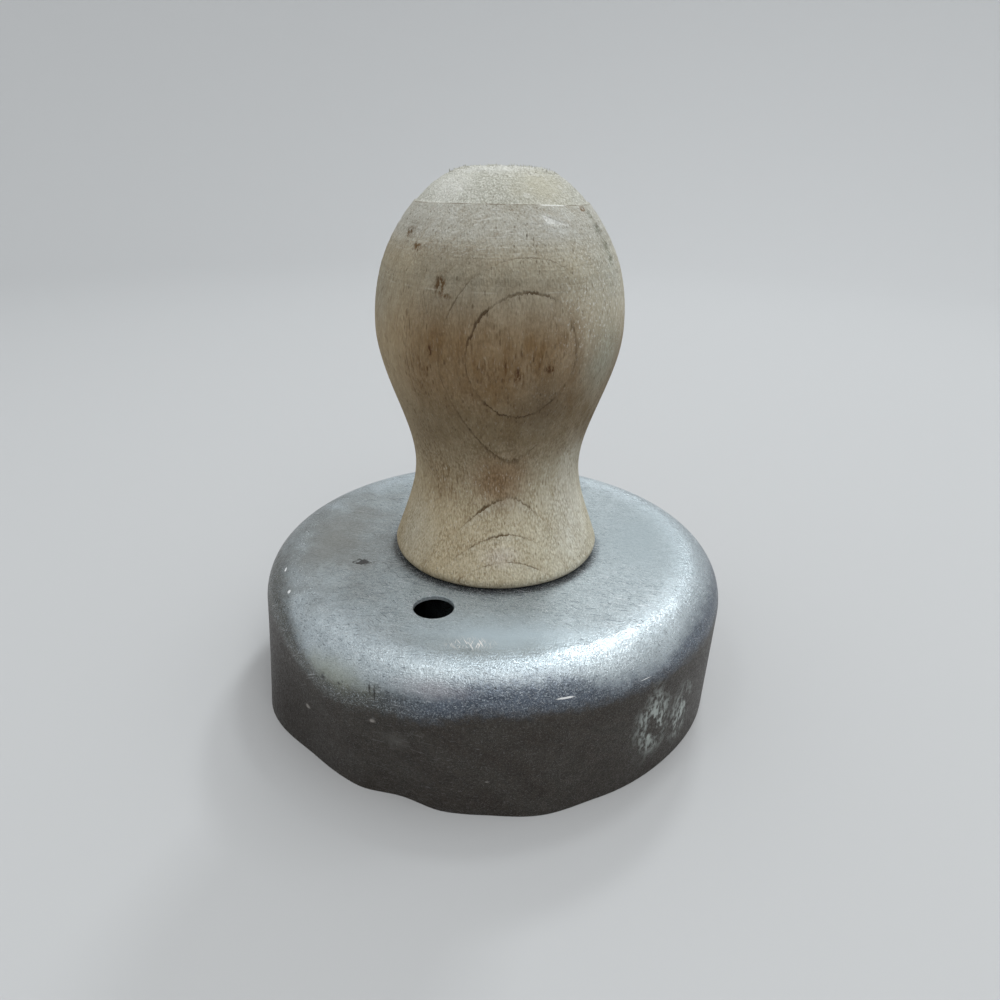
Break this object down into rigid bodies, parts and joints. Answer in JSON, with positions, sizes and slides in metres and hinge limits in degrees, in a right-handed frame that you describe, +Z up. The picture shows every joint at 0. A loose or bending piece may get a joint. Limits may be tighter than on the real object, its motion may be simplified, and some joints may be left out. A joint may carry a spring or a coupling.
{
  "type": "doughnut cutter",
  "caption": "Hand doughnut cutter: a round pressed metal cup with an open cutting rim, a small cup inside for the hole, a vent hole on top and a turned wooden knob handle.",
  "frame": {"origin": "on the axis of the cup and handle, in the plane of the cutting rim, where the cutter stands on a table", "axes": "+Z up along the axis towards the top of the handle; -Y towards the front, where the vent hole is; +X to the right"},
  "size_m": [0.0763, 0.0762, 0.082],
  "materials": {
    "bare_wood": "bare turned wood, dry, greyed and stained by use, with fine growth rings and a rough cut end",
    "pressed_aluminium": "dull satin with fine scratches, dark pits and a pale bloom of corrosion",
    "steel_screw": "dull steel, darkened by age"
  },
  "bodies": {
    "root": {"handle": "bare_wood", "cutter_cup": "pressed_aluminium", "hole_cutter": "pressed_aluminium", "handle_screw": "steel_screw"}
  },
  "joints": []
}
